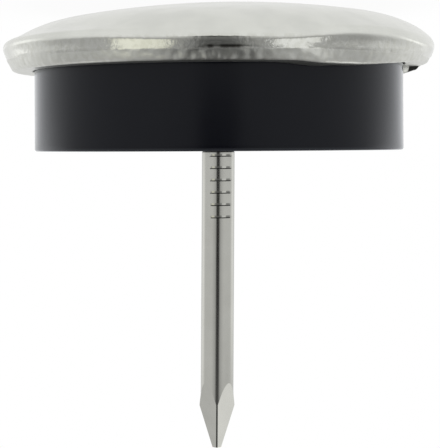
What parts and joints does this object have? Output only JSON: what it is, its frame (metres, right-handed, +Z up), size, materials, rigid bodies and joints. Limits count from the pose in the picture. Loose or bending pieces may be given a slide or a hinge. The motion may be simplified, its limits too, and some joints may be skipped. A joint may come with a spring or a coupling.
{
  "type": "nail-on furniture glide",
  "caption": "Round furniture glide: a domed nickel-plated steel cap crimped over a black plastic pad, with a wire nail that is driven into the end of a leg.",
  "frame": {"origin": "lowest point of the dome, on the floor under the nail's axis", "axes": "+Z up along the nail towards its point, +X and +Y across the cap"},
  "size_m": [0.028, 0.028, 0.0289],
  "materials": {
    "nickel_cap": "satin nickel plate on pressed steel",
    "black_plastic": "smooth moulded, half gloss",
    "nickel_nail": "nickel plate on drawn wire"
  },
  "bodies": {
    "root": {"domed_cap": "nickel_cap", "pad": "black_plastic", "nail": "nickel_nail"}
  },
  "joints": []
}
